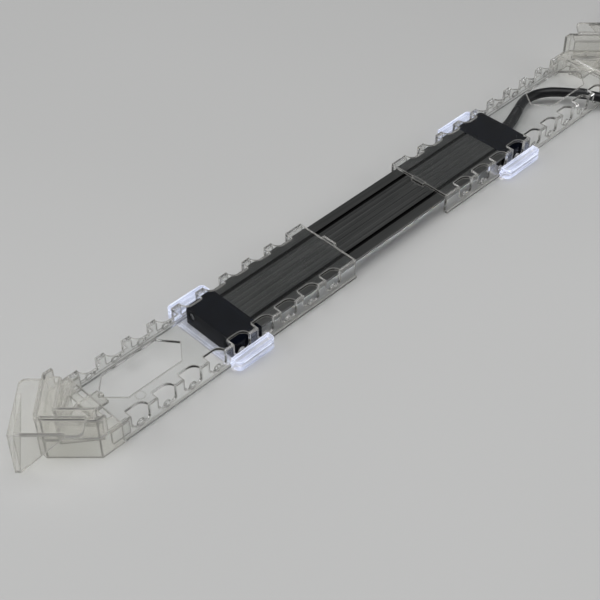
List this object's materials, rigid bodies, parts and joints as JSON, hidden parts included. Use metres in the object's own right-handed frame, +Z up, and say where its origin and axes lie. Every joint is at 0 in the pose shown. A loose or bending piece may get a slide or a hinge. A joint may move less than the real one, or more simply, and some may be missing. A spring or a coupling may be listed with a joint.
{
  "type": "led aquarium light",
  "caption": "Slim black LED bar in clear carriers on two clear slotted rails that hang across the corners of a small square tank, with a coiled mains lead.",
  "frame": {"origin": "on the standing surface, under the middle of the assembly's box without the lead, coil and plug", "axes": "+X along the bar towards the cable end, +Y across it to the far side, +Z up"},
  "size_m": [0.524, 0.0883, 0.0248],
  "materials": {
    "anodised_aluminium": "dark anodised, fine lengthwise ribs",
    "white_board": "white solder mask",
    "emitter": "lit white emitters",
    "chip_black": "moulded chip",
    "pad_grey": "soft gap pad",
    "screw_steel": "zinc plated",
    "cover_clear": "clear diffusing",
    "cap_black": "gloss black",
    "seal_rubber": "silicone",
    "lit_clear": "clear, carrying the lamp's light",
    "wire_brown": "smooth",
    "wire_blue": "smooth",
    "cable_black": "smooth satin",
    "clear_plastic": "clear moulding",
    "tie_black": "satin strap",
    "pin_brass": "nickelled"
  },
  "bodies": {
    "lamp": {"bar_housing": "anodised_aluminium", "led_board": "white_board", "leds": "emitter", "driver_parts": "chip_black", "thermal_pad": "pad_grey", "board_screws": "screw_steel", "light_cover": "cover_clear", "left_cap": "cap_black", "right_cap": "cap_black", "left_gasket": "seal_rubber", "right_gasket": "seal_rubber", "left_cap_screws": "screw_steel", "right_cap_screws": "screw_steel", "left_carrier": "lit_clear", "right_carrier": "lit_clear", "left_carrier_screws": "screw_steel", "right_carrier_screws": "screw_steel", "live_wire": "wire_brown", "neutral_wire": "wire_blue", "strain_relief": "cable_black"},
    "left_bracket": {"left_rail": "clear_plastic", "left_corner": "clear_plastic"},
    "right_bracket": {"right_rail": "clear_plastic", "right_corner": "clear_plastic", "cord_lead": "cable_black", "cord_coil": "cable_black", "cord_tail": "cable_black", "coil_tie": "tie_black", "plug_body": "cable_black", "plug_pins": "pin_brass"}
  },
  "joints": [
    {"name": "left_bracket_slide", "type": "slide", "parent": "lamp", "child": "left_bracket", "axis": [-1, 0, 0], "range_m": [-0.0288, 0.0432]},
    {"name": "right_bracket_slide", "type": "slide", "parent": "lamp", "child": "right_bracket", "axis": [1, 0, 0], "range_m": [-0.0144, 0.0432], "deforming": ["cord_lead"]}
  ]
}
